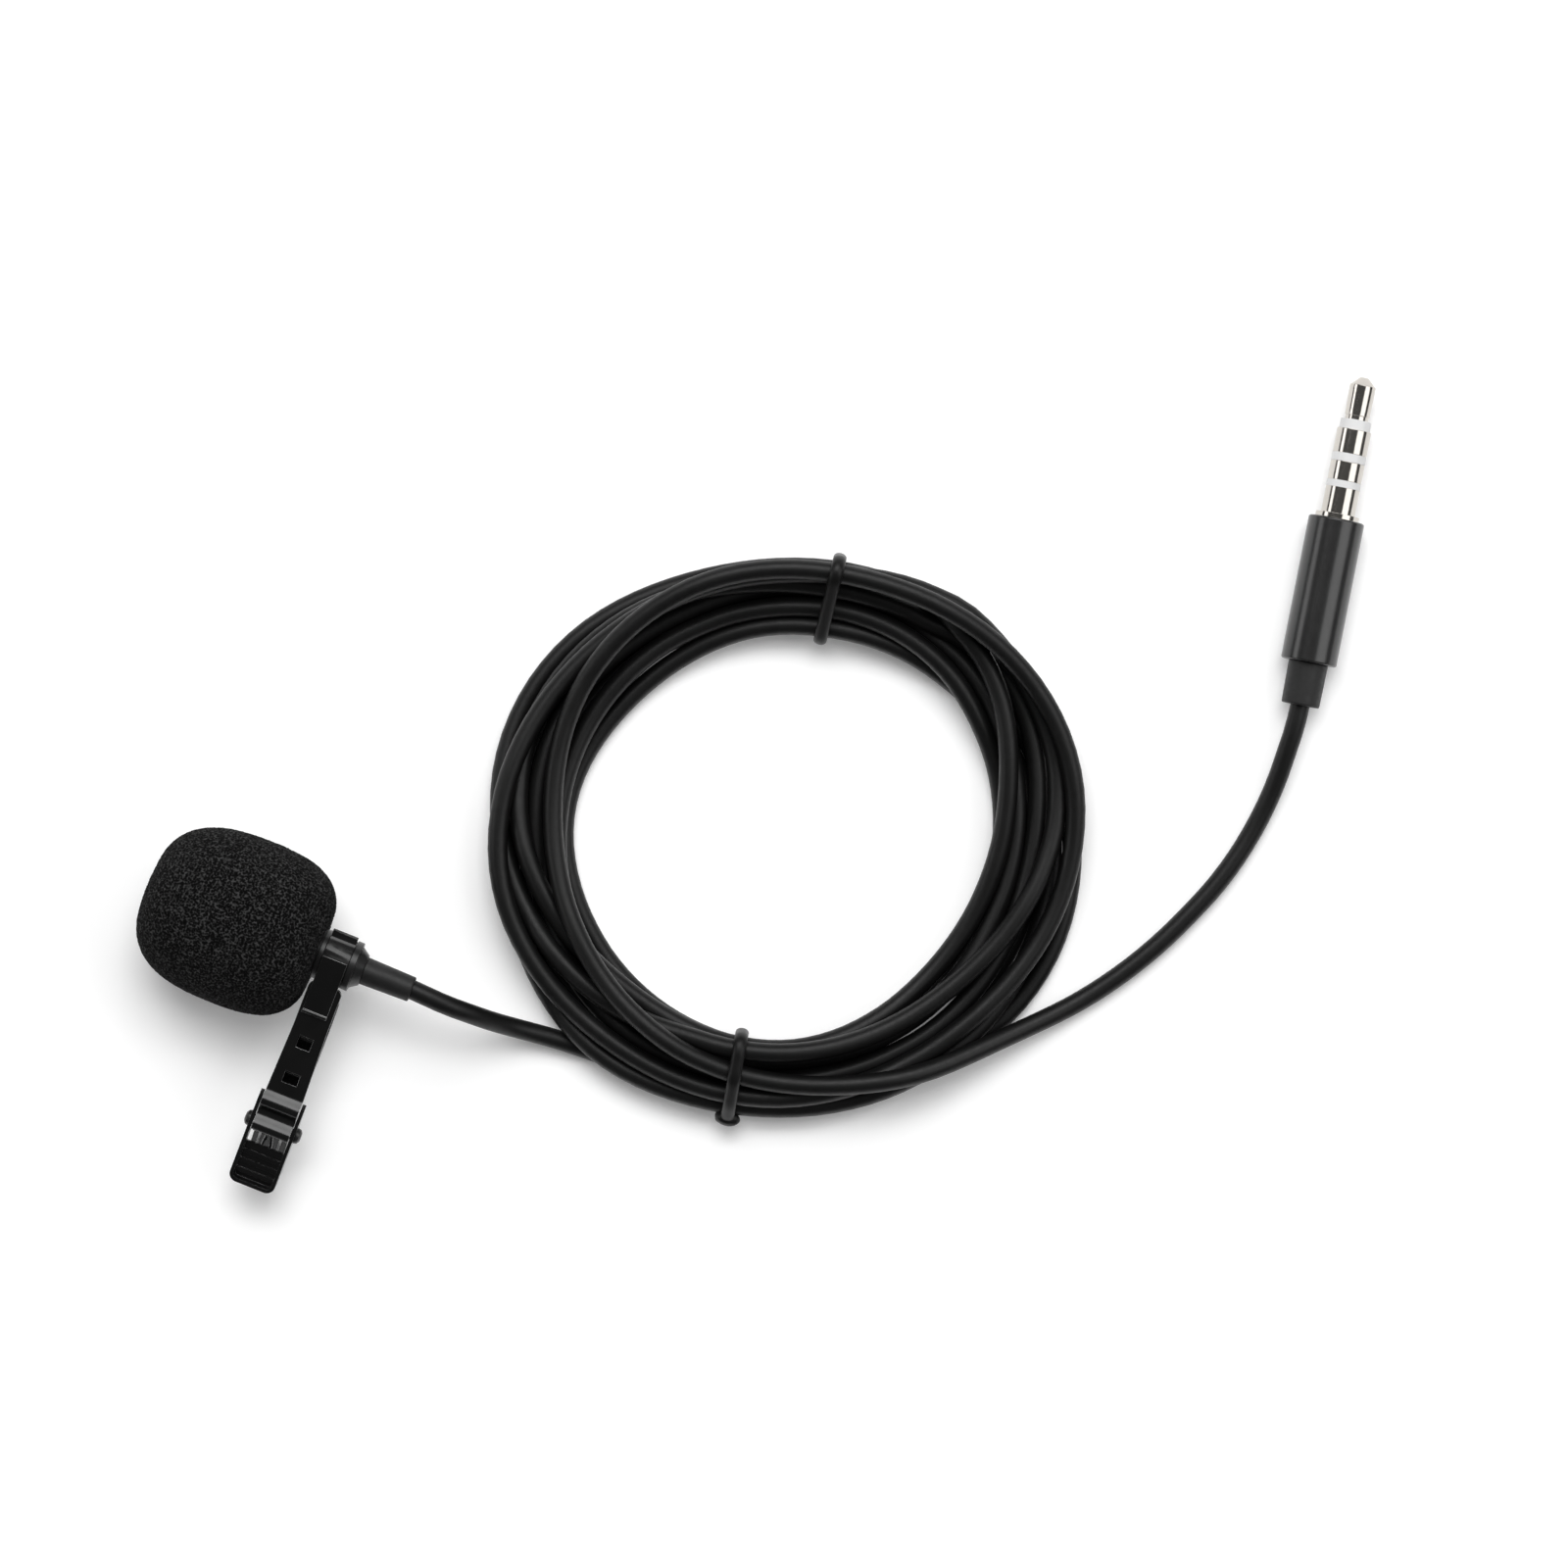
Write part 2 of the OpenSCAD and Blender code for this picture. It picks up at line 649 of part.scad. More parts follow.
module plug_insulator_2() {
  color([0.93, 0.93, 0.92]) plug_segment(3, contact_d);
}

module plug_ring_2() {
  color([0.85, 0.84, 0.82]) plug_segment(4, contact_d);
}

module plug_insulator_3() {
  color([0.93, 0.93, 0.92]) plug_segment(5, contact_d);
}

handle_bore = handle_d - 1.2;

// Sleeve contact with the flange that closes the handle and the seat inside it
module plug_sleeve() {
  hole = core_d[5] + 2 * seat_gap;
  flange = 4.5;
  seat_start = 16.2;
  color([0.85, 0.84, 0.82]) on_plug() {
    bar(contact_d, handle_front - 0.1, from_tip(stations[5]), hole);
    bar(flange, handle_front + seat_gap, handle_front + collar_t, hole);
    bar(handle_bore - 2 * seat_gap, seat_start, handle_front + collar_t / 2, hole);
  }
}

// Soldered conductors from the cord to the ends of the contact tubes
module plug_wires() {
  cord_face = plug_relief_len + 1.62;
  color([0.7, 0.25, 0.15]) on_plug() {
    wire([cord_face, 0, 0], [tail_end[0] - seat_gap, 0, 0], 0.4);
    wire([cord_face, 0.6, 0], [tail_end[2] - 0.1, 1.1, 0], 0.4);
    wire([cord_face, -0.6, 0], [tail_end[4] - 0.1, -1.45, 0], 0.4);
  }
}

// Straight round shell with a rear wall that holds the strain relief
module plug_handle() {
  wall = 1.2;
  edge = 0.12;
  hole_r = 1.3;
  color([0.16, 0.16, 0.17]) on_plug() turned([
    [hole_r, plug_relief_len], [handle_d / 2 - edge, plug_relief_len],
    [handle_d / 2, plug_relief_len + edge], [handle_d / 2, handle_front - edge],
    [handle_d / 2 - edge, handle_front], [handle_bore / 2, handle_front],
    [handle_bore / 2, plug_relief_len + wall], [hole_r, plug_relief_len + wall]
  ]);
}

module plug_strain_relief() {
  neck_r = 1.28;
  flange_r = 2.1;
  color([0.12, 0.12, 0.12]) on_plug() turned([
    [0, 0], [1.85, 0], [1.95, 0.1], [2.02, plug_relief_len - seat_gap],
    [neck_r, plug_relief_len - seat_gap], [neck_r, plug_relief_len + 1.22],
    [flange_r, plug_relief_len + 1.22], [flange_r, plug_relief_len + 1.6], [0, plug_relief_len + 1.6]
  ]);
}

windscreen();
mic_housing();
front_grille();
dust_felt();
capsule_boot();
capsule_can();
diaphragm();
backplate();
backplate_holder();
capsule_board();
jfet();
lead_wires();
rear_cap();
cord_crimp();
mic_strain_relief();
holder_ring();
ring_strap();
front_strip();
thumb_lever();
pivot_pin();
torsion_spring();
rear_jaw();
cord_mic_lead();
cord_coil();
cord_plug_lead();
tie_upper();
tie_lower();
plug_tip();
plug_insulator_1();
plug_ring_1();
plug_insulator_2();
plug_ring_2();
plug_insulator_3();
plug_sleeve();
plug_wires();
plug_handle();
plug_strain_relief();
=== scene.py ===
"""Clip-on lavalier microphone: looks, light and camera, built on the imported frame."""

import json
import math

import bmesh
import bpy
import numpy as np
from mathutils import Matrix, Vector, noise

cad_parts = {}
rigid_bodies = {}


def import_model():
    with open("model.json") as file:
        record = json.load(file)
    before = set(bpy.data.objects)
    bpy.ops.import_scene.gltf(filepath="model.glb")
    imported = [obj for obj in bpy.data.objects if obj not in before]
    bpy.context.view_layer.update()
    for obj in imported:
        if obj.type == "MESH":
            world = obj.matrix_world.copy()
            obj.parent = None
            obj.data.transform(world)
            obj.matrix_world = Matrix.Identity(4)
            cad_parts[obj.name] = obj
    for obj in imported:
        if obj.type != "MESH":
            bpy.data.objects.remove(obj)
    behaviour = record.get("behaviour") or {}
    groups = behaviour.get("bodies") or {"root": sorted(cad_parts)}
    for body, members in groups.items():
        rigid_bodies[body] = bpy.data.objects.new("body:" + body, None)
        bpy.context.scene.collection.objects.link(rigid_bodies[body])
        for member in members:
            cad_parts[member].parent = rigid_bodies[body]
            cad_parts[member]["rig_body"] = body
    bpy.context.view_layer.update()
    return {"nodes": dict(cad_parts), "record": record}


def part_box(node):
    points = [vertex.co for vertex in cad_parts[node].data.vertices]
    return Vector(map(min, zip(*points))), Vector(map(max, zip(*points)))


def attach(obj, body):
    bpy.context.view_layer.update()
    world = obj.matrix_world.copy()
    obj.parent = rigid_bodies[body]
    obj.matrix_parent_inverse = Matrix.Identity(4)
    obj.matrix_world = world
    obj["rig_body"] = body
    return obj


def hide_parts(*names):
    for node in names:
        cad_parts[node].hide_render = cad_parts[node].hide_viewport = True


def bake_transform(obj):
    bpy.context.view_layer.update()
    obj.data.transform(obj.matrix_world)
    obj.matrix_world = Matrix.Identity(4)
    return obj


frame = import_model()
MM = 0.001


def linked(name, data):
    """A new object with this data, in the scene."""
    obj = bpy.data.objects.new(name, data)
    bpy.context.scene.collection.objects.link(obj)
    return obj


# ---------------------------------------------------------------- camera

VIEW_CENTRE = Vector((41.33, 40.98, 0.0)) * MM
VIEW_WIDTH = 158.4 * MM
VIEW_TURN = math.radians(21.65)
LENS = 150.0
SENSOR = 36.0
SUBJECT_HEIGHT = 5 * MM


def make_camera():
    data = bpy.data.cameras.new("camera")
    data.lens = LENS
    data.sensor_width = SENSOR
    data.clip_start = 0.01
    data.clip_end = 20.0
    camera = linked("camera", data)
    distance = VIEW_WIDTH * LENS / SENSOR
    camera.location = VIEW_CENTRE + Vector((0, 0, distance + SUBJECT_HEIGHT))
    camera.rotation_euler = (0, 0, VIEW_TURN)
    bpy.context.scene.camera = camera


# ---------------------------------------------------------------- materials

def new_material(name):
    """A new material, with its node tree and its shader."""
    material = bpy.data.materials.new(name)
    material.use_nodes = True
    tree = material.node_tree
    shader = tree.nodes["Principled BSDF"]
    return material, tree, shader


def noise_node(tree, scale, detail):
    """Noise in object coordinates, where one unit is a metre."""
    place = tree.nodes.new("ShaderNodeTexCoord")
    texture = tree.nodes.new("ShaderNodeTexNoise")
    texture.inputs["Scale"].default_value = scale
    texture.inputs["Detail"].default_value = detail
    tree.links.new(place.outputs["Object"], texture.inputs["Vector"])
    return texture


def ramp_node(tree, factor, low, high, dark, light):
    """Colour ramp from dark, up to the factor low, to light, from the factor high."""
    ramp = tree.nodes.new("ShaderNodeValToRGB")
    ramp.color_ramp.elements[0].position = low
    ramp.color_ramp.elements[1].position = high
    ramp.color_ramp.elements[0].color = (*dark, 1)
    ramp.color_ramp.elements[1].color = (*light, 1)
    tree.links.new(factor, ramp.inputs["Fac"])
    return ramp


def bump_node(tree, shader, height, strength, distance):
    """Relief from a height, as deep as the distance in metres."""
    bump = tree.nodes.new("ShaderNodeBump")
    bump.inputs["Strength"].default_value = strength
    bump.inputs["Distance"].default_value = distance
    tree.links.new(height, bump.inputs["Height"])
    tree.links.new(bump.outputs["Normal"], shader.inputs["Normal"])


def grey(value):
    return (value, value, value)


# Noise that every finish shares: its broad mottling, and the range that its ramps run over
MOTTLE_SCALE = 220
NOISE_LOW = 0.3
NOISE_HIGH = 0.7

GRAIN_DEPTH = 0.02 * MM
COAT_ROUGHNESS = 0.12


def finish_material(name, dark, light, rough, grain=1500, bump=0.1, metallic=0.0,
                    specular=0.5, coat=0.0):
    """A surface mottled between two colours, whose fine grain gives its roughness and bump."""
    material, tree, shader = new_material(name)
    shader.inputs["Metallic"].default_value = metallic
    shader.inputs["Specular IOR Level"].default_value = specular
    shader.inputs["Coat Weight"].default_value = coat
    shader.inputs["Coat Roughness"].default_value = COAT_ROUGHNESS
    fine = noise_node(tree, grain, 3)
    broad = noise_node(tree, MOTTLE_SCALE, 2)
    colour = ramp_node(tree, broad.outputs["Fac"], NOISE_LOW, NOISE_HIGH, dark, light)
    roughness = ramp_node(tree, fine.outputs["Fac"], NOISE_LOW, NOISE_HIGH,
                          grey(rough[0]), grey(rough[1]))
    tree.links.new(colour.outputs["Color"], shader.inputs["Base Color"])
    tree.links.new(roughness.outputs["Color"], shader.inputs["Roughness"])
    bump_node(tree, shader, fine.outputs["Fac"], bump, GRAIN_DEPTH)
    return material


CELL_SCALE = 4200
CELL_NOISE_SCALE = 5200
CELL_DEPTH = 0.1 * MM
# Foam colours: painted shade in the pores, and painted light on the struts round them
PAINTED_PORE_SHADE = 0.0015
PAINTED_STRUT_LIGHT = 0.042


def foam_material():
    """Open-cell foam with no gloss: fine struts round pores, with painted shade for the dark pores
    and painted light for the pale struts.
    """
    material, tree, shader = new_material("foam")
    place = tree.nodes.new("ShaderNodeTexCoord")
    cells = tree.nodes.new("ShaderNodeTexVoronoi")
    cells.feature = "F1"
    cells.inputs["Scale"].default_value = CELL_SCALE
    tree.links.new(place.outputs["Object"], cells.inputs["Vector"])
    patches = noise_node(tree, CELL_NOISE_SCALE, 3)
    mix = tree.nodes.new("ShaderNodeMath")
    mix.operation = "MULTIPLY"
    tree.links.new(cells.outputs["Distance"], mix.inputs[0])
    tree.links.new(patches.outputs["Fac"], mix.inputs[1])
    # Painted shade and light: dark in the low cell middles, pale on the raised cell edges, following
    # the same heights as the bump
    colour = ramp_node(tree, mix.outputs["Value"], 0.22, 0.46, grey(PAINTED_PORE_SHADE), grey(PAINTED_STRUT_LIGHT))
    tree.links.new(colour.outputs["Color"], shader.inputs["Base Color"])
    shader.inputs["Roughness"].default_value = 0.95
    shader.inputs["Specular IOR Level"].default_value = 0.1
    bump_node(tree, shader, mix.outputs["Value"], 0.8, CELL_DEPTH)
    return material


# By slot: dark and light colour, range of roughness, scale of the grain and strength of its
# bump. The extra slot clip_edge is the bare metal where the clip's paint has worn off.
MATERIALS = {
    "foam": foam_material(),
    "cord": finish_material("cord", grey(0.0025), grey(0.004), (0.42, 0.50), 1800, 0.06,
                            specular=0.38),
    "tie": finish_material("tie", grey(0.003), grey(0.005), (0.36, 0.48), 1200, 0.12,
                           specular=0.3),
    "relief": finish_material("relief", grey(0.006), grey(0.010), (0.48, 0.60), 2400, 0.2),
    "rubber": finish_material("rubber", grey(0.02), grey(0.03), (0.6, 0.7), 1500, 0.2),
    "mic_metal": finish_material("mic_metal", grey(0.008), grey(0.013), (0.28, 0.36), 2600, 0.08),
    "ring_metal": finish_material("ring_metal", grey(0.007), grey(0.012), (0.26, 0.34), 2600, 0.06),
    "clip_metal": finish_material("clip_metal", grey(0.002), grey(0.004), (0.18, 0.26), 900, 0.05,
                                  coat=0.4),
    "clip_edge": finish_material("clip_edge", grey(0.08), grey(0.50), (0.22, 0.34), 1800, 0.06,
                                 metallic=0.9),
    "pin_metal": finish_material("pin_metal", grey(0.03), grey(0.05), (0.25, 0.35), 1500, 0.08,
                                 metallic=0.6),
    "spring": finish_material("spring", grey(0.16), grey(0.24), (0.22, 0.32), 2500, 0.1,
                              metallic=1.0),
    "nickel": finish_material("nickel", (0.54, 0.51, 0.47), (0.61, 0.58, 0.54), (0.10, 0.16),
                              5200, 0.05, metallic=1.0),
    "insulator": finish_material("insulator", grey(0.66), grey(0.70), (0.30, 0.38), 1500, 0.04),
    "handle": finish_material("handle", grey(0.010), grey(0.014), (0.23, 0.27), 2200, 0.02,
                              specular=0.7),
    "felt": finish_material("felt", grey(0.02), grey(0.05), (0.9, 1.0), 3500, 0.8, specular=0.2),
    "can": finish_material("can", grey(0.5), grey(0.6), (0.25, 0.35), 2200, 0.08, metallic=1.0),
    "capsule_brass": finish_material("capsule_brass", (0.55, 0.42, 0.18), (0.65, 0.5, 0.24),
                                     (0.25, 0.35), 2200, 0.06, metallic=1.0),
    "board": finish_material("board", (0.01, 0.09, 0.03), (0.02, 0.13, 0.05), (0.4, 0.5), 2200, 0.1),
    "jfet": finish_material("jfet", grey(0.015), grey(0.025), (0.5, 0.6), 2400, 0.1),
    "wire": finish_material("wire", (0.35, 0.03, 0.02), (0.45, 0.05, 0.03), (0.35, 0.45), 1600, 0.05),
}

# The material slot that each CAD node takes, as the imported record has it
NODE_SLOT = {part["node"]: part["material_slot"] for part in frame["record"]["subparts"]}


def paint(obj, slot):
    obj.data.materials.clear()
    obj.data.materials.append(MATERIALS[slot])


# ---------------------------------------------------------------- pieces

# Below these, points count as one, and neighbouring faces as one flat face
SAME_POINT = 0.0005 * MM
FLAT_ANGLE = math.radians(0.6)

# Edges sharper than this are eased
SHARP_ANGLE = math.radians(32)

# In a turned part, a point this near its axis and a face this square to it have no azimuth
ON_AXIS = 0.02 * MM
SQUARE_ON = 0.999


def add_piece(name, data, body, slot, *nodes):
    """New object with its material and body, which stands for the CAD nodes."""
    obj = linked(name, data)
    paint(obj, slot)
    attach(obj, body)
    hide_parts(*nodes)
    return obj


def shade_smooth(mesh):
    for polygon in mesh.polygons:
        polygon.use_smooth = True


def merged_mesh(name, source):
    """Copy of a mesh with its doubled points joined and its flat faces made whole."""
    bm = bmesh.new()
    bm.from_mesh(source)
    bmesh.ops.remove_doubles(bm, verts=bm.verts, dist=SAME_POINT)
    bmesh.ops.dissolve_limit(bm, angle_limit=FLAT_ANGLE, verts=bm.verts, edges=bm.edges)
    mesh = bpy.data.meshes.new(name)
    bm.to_mesh(mesh)
    bm.free()
    shade_smooth(mesh)
    return mesh


def turn_normals(mesh, axis_point, axis):
    """Exact shading for a turned part: each face's normal, swung round the axis to each
    of its corners."""
    def azimuth(point):
        out = point - axis_point
        return out - axis * out.dot(axis)

    normals = []
    for polygon in mesh.polygons:
        face_out = azimuth(polygon.center)
        for i in polygon.vertices:
            corner_out = azimuth(mesh.vertices[i].co)
            normal = polygon.normal.copy()
            on_side = face_out.length > ON_AXIS and corner_out.length > ON_AXIS
            if on_side and abs(normal.dot(axis)) < SQUARE_ON:
                normal.rotate(face_out.rotation_difference(corner_out))
            normals.append(normal)
    mesh.normals_split_custom_set(normals)


def eased_copy(node, width, edge_slot=None):
    """Copy of a CAD node with its sharp edges eased by a small bevel. It replaces the node.

    The bevels may take a second material, for paint that has worn off the edges."""
    original = frame["nodes"][node]
    obj = linked(node + "_rough", merged_mesh(node + "_shape", original.data))
    paint(obj, NODE_SLOT[node])
    bevel = obj.modifiers.new("bevel", "BEVEL")
    bevel.width = width
    bevel.segments = 3
    bevel.limit_method = "ANGLE"
    bevel.angle_limit = SHARP_ANGLE
    if edge_slot:
        obj.data.materials.append(MATERIALS[edge_slot])
        bevel.material = 1
    weighted = obj.modifiers.new("weighted", "WEIGHTED_NORMAL")
    weighted.weight = 100
    weighted.mode = "FACE_AREA"
    weighted.keep_sharp = False
    graph = bpy.context.evaluated_depsgraph_get()
    mesh = bpy.data.meshes.new_from_object(obj.evaluated_get(graph))
    mesh.name = node + "_shape"
    bpy.data.objects.remove(obj)
    if node in TURNED:
        turn_normals(mesh, *TURNED[node])
    piece = linked(node + "_piece", mesh)
    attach(piece, original["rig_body"])
    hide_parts(node)


# ---------------------------------------------------------------- cord

# Lengths in this section are in mm, and angles in degrees, until a mesh or curve is made
CORD_D = 2.0
COIL_CENTRE = (43.7, 36.0)
TIE_WIDTH = 1.35
TIE_THICK = 0.9
STEPS_PER_TURN = 96

# Angle of each tie round the coil, and the radii between which it holds the turns
TIES = ((101.5, 22.4, 26.7), (279.0, 22.0, 27.2))

# Points of the leads as in the CAD, without the one of each at the coil, where the wound
# turns take over
MIC_LEAD = ((16, 7.9, 8.7), (18, 7.8, 8.4), (20, 7.8, 7.4), (21.5, 7.8, 6.2), (23, 7.8, 4.7),
            (24.5, 7.9, 3.2), (26, 8, 2.1), (28, 8.2, 1.2), (30, 8.5, 1))
PLUG_LEAD = ((74.2, 27.8, 1.8), (76.6, 30.5, 1.15), (79, 33.7, 1), (81, 36.8, 1),
             (82.9, 40.3, 1), (84.5, 43.9, 1), (85.9, 47.6, 1), (86.9, 51.4, 1),
             (87.5, 55.3, 1.1), (87.7, 59.2, 1.6), (87.5, 63, 2.4), (87.3, 65.6, 2.8))
PLUG_END = (87.0, 67.7, 2.85)

# Lay of the winding, turn by turn: angle round the coil, and radius. The turns wander and cross, so
# each has its own listed points, and settled_coil works out the rest.
LAY = (
    ((245, 29.9), (256, 28.4), (268, 26.8), (285, 25.8), (305, 26.2), (325, 27.3), (342, 28.4)),
    ((0, 29.0), (18, 28.7), (32, 28.3), (55, 27.6), (75, 25.4), (100, 23.9), (130, 24.4),
     (160, 26.0), (178, 27.0), (192, 27.5), (212, 28.1), (235, 28.9), (249, 29.2), (262, 28.5),
     (280, 27.7), (305, 27.5), (330, 27.6), (348, 27.4)),
    ((10, 27.2), (30, 26.9), (50, 26.3), (75, 24.4), (100, 23.4), (130, 23.6), (160, 24.5),
     (190, 25.8), (215, 27.4), (235, 27.3), (255, 25.2), (280, 23.9), (310, 24.4), (335, 25.1)),
    ((0, 25.4), (20, 25.2), (40, 24.9), (60, 23.4), (80, 22.4), (100, 21.5), (120, 21.4),
     (145, 21.1), (165, 21.5), (180, 22.3), (195, 22.9), (215, 22.6), (245, 22.0), (280, 21.7),
     (305, 21.9), (335, 21.8)),
    ((0, 21.6), (25, 22.2), (50, 23.2), (75, 23.9), (90, 23.9), (110, 23.6), (140, 23.6),
     (170, 23.5), (200, 23.6), (240, 24.0), (280, 22.8), (320, 22.4), (345, 22.4)),
    ((5, 22.7), (30, 23.5), (50, 24.5), (65, 25.3), (85, 25.7), (105, 25.7), (125, 25.4),
     (145, 25.3), (165, 26.0), (180, 26.1), (195, 25.6), (215, 25.3), (245, 25.4), (270, 24.7),
     (300, 24.0), (330, 24.3)),
    ((0, 24.2), (15, 24.6), (30, 25.5), (45, 27.1), (58, 28.0), (75, 27.0), (100, 25.9),
     (125, 26.2), (145, 27.4), (160, 28.0), (175, 28.3), (190, 27.8), (200, 27.0), (212, 25.5),
     (225, 24.0), (240, 22.5), (255, 21.8), (275, 21.5), (295, 21.2), (315, 20.5), (340, 19.9)),
    ((0, 20.4), (12, 21.0), (25, 22.0), (38, 23.2), (52, 25.4), (64, 26.9), (78, 27.7),
     (100, 27.8), (125, 27.8), (140, 28.4), (152, 29.3), (168, 30.0), (182, 30.05), (194, 29.6),
     (208, 28.4), (222, 27.0), (238, 25.2), (250, 23.9), (262, 22.5), (280, 21.8), (305, 21.45),
     (325, 21.7), (345, 22.6)),
    ((0, 24.2), (12, 25.6), (25, 27.3), (38, 28.4), (55, 28.7), (72, 28.9), (86, 28.2),
     (102, 27.0), (125, 26.8), (155, 27.2), (185, 28.6), (205, 29.35), (220, 29.0), (235, 28.1),
     (250, 27.2), (268, 26.7), (290, 26.3), (315, 25.8), (335, 26.0), (350, 26.8)),
    ((0, 27.6), (15, 28.6), (30, 29.4), (42, 29.6), (58, 29.2), (75, 28.4), (90, 27.6),
     (110, 27.35), (130, 27.3), (148, 26.7), (162, 26.1), (178, 25.0), (192, 24.0), (206, 23.5),
     (225, 23.3), (250, 23.4), (270, 23.8), (285, 24.35), (300, 25.0), (312, 26.0), (324, 27.4),
     (332, 28.6), (340, 29.9)),
)

# How firmly each turn keeps to its listed points while the turns settle on each other
HOLD = (0.5, 0.5, 0.4, 0.3, 0.35, 0.45, 0.9, 0.9, 0.8, 1.0)

# Before they settle, the turns start this far above the floor, and each climbs this much
START_GAP = 0.3
START_CLIMB = 0.42

# Rounds of settling, and closing rounds in which the turns no longer sink
SETTLING_ROUNDS = 900
CLOSING_ROUNDS = 60
SINK = 0.02

# How far from a tie its pinch is felt, and how far its strand lifts the turns above it
PINCH_REACH = 11.0
LIFT_REACH = 9.0

# Distance that turns are pushed to. Of two that touch, the later one takes the larger share
# of the lift, and at least a little of it unless it lies well below the other.
CONTACT = 1.004 * CORD_D
UPPER_SHARE = 0.65
LEAST_LIFT = 0.12
WELL_BELOW = 0.3 * CORD_D

# Steps of the route over which a lead runs smoothly into the coil
JOINT_REACH = 4.0
JOINT_ROUNDS = 14

# How far a tie is drawn into the turns, and the points round one turn and round the tie
TIE_SINK = 0.04
POINTS_ROUND_TURN = 40
POINTS_ROUND_TIE = 96
KNOB_SIZE = (0.85, 1.3, 0.9)


def through(knots, values, at):
    """Smooth curve through unevenly spaced knots."""
    knots = np.array(knots, float)
    values = np.array(values, float)
    slopes = np.gradient(values, knots)
    i = np.clip(np.searchsorted(knots, at) - 1, 0, len(knots) - 2)
    span = knots[i + 1] - knots[i]
    t = (at - knots[i]) / span
    return (
        (2 * t**3 - 3 * t**2 + 1) * values[i]
        + (t**3 - 2 * t**2 + t) * span * slopes[i]
        + (3 * t**2 - 2 * t**3) * values[i + 1]
        + (t**3 - t**2) * span * slopes[i + 1]
    )


def off_angle(angle, middle):
    """Angle from the middle, between -180 and 180 degrees."""
    return (angle - middle + 180) % 360 - 180


def bell(distance, reach):
    """1 where the distance is nothing, falling smoothly to about a third at the reach."""
    return np.exp(-((distance / reach) ** 2))


def push_turns_apart(radius, height, hold, floor):
    """Moves turns that lie in each other half of the way apart, and none below the floor."""
    for turns in range(1, (len(radius) - 1) // STEPS_PER_TURN + 1):
        k = STEPS_PER_TURN * turns
        across = radius[k:] - radius[:-k]
        up = height[k:] - height[:-k]
        apart = np.maximum(np.hypot(across, up), 1e-6)
        overlap = 0.5 * np.maximum(CONTACT - apart, 0)
        share = (hold[:-k] + 0.05) / (hold[:-k] + hold[k:] + 0.1)
        lift = up / apart
        lift = np.where(up > -WELL_BELOW, np.maximum(lift, LEAST_LIFT), lift)
        radius[k:] += overlap * across / apart * share
        radius[:-k] -= overlap * across / apart * (1 - share)
        height[k:] += UPPER_SHARE * overlap * lift
        height[:-k] -= (1 - UPPER_SHARE) * overlap * lift
    np.maximum(height, floor, out=height)


def ease(values, amount):
    """Moves each value towards the middle of its two neighbours."""
    values[1:-1] += amount * ((values[2:] + values[:-2]) / 2 - values[1:-1])


def spread(values, steps):
    """The same values, each averaged with its neighbours for some steps either way."""
    kernel = np.hanning(2 * steps + 3)[1:-1]
    return np.convolve(np.pad(values, steps, mode="edge"), kernel / kernel.sum(), mode="valid")


def settled_coil():
    """Angle, radius and height of the wound cord, with its turns resting on each other."""
    knots = [(360 * turn + angle, r) for turn, row in enumerate(LAY) for angle, r in row]
    angles, radii = zip(*knots)
    angle = np.arange(angles[0], angles[-1] + 1e-6, 360 / STEPS_PER_TURN)
    drawn = spread(through(angles, radii, angle), 4)
    hold = spread(np.array(HOLD)[(angle // 360).astype(int)], 8)
    radius = drawn.copy()
    height = CORD_D / 2 + START_GAP + START_CLIMB * (angle - angle[0]) / 360
    pinch = []
    lifted = np.zeros(len(angle))
    for tie, inner, outer in TIES:
        off = off_angle(angle, tie)
        pinch.append((bell(off, PINCH_REACH), inner, outer))
        lifted = np.maximum(lifted, bell(off, LIFT_REACH))
    floor = CORD_D / 2 + TIE_THICK * lifted
    for i in range(SETTLING_ROUNDS):
        height -= SINK * (1.3 - i / SETTLING_ROUNDS)
        radius += 0.12 * hold * (drawn - radius)
        for near, inner, outer in pinch:
            radius += 0.4 * near * (np.clip(radius, inner, outer) - radius)
        for _ in range(2):
            push_turns_apart(radius, height, hold, floor)
        ease(height, 0.35)
        radius += 0.8 * (spread(radius - drawn, 6) - (radius - drawn))
    for _ in range(CLOSING_ROUNDS):
        push_turns_apart(radius, height, hold, floor)
        ease(height, 0.15)
        radius += 0.15 * (spread(radius - drawn, 6) - (radius - drawn))
    push_turns_apart(radius, height, hold, floor)
    return angle, radius, height


def dense(points, pitch=1.5):
    """Smooth curve through given points, sampled at an even pitch."""
    points = np.array(points, float)
    along = np.concatenate([[0], np.cumsum(np.linalg.norm(np.diff(points, axis=0), axis=1))])
    at = np.linspace(0, along[-1], max(2, int(along[-1] / pitch) + 1))
    return np.column_stack([through(along, points[:, i], at) for i in range(3)])


def cord_route(exit_point):
    """Points of the whole cord from the microphone to the plug, and the settled coil."""
    angle, radius, height = settled_coil()
    turn = np.radians(angle)
    coil = np.column_stack([
        COIL_CENTRE[0] + radius * np.cos(turn), COIL_CENTRE[1] + radius * np.sin(turn), height,
    ])
    lead_in = dense([tuple(exit_point)] + list(MIC_LEAD) + [tuple(coil[0])])
    lead_out = dense([tuple(coil[-1])] + list(PLUG_LEAD) + [PLUG_END])
    route = np.vstack([lead_in[:-1], coil, lead_out[1:]])
    joints = (len(lead_in) - 1, len(lead_in) + len(coil) - 1)
    near = np.zeros(len(route))
    for joint in joints:
        near = np.maximum(near, bell(np.arange(len(route)) - joint, JOINT_REACH))
    for _ in range(JOINT_ROUNDS):
        middle = (route[2:] + route[:-2]) / 2
        route[1:-1] += (0.5 * near[1:-1])[:, None] * (middle - route[1:-1])
    route[:, 2] = np.maximum(route[:, 2], CORD_D / 2)
    return route, (angle, radius, height)


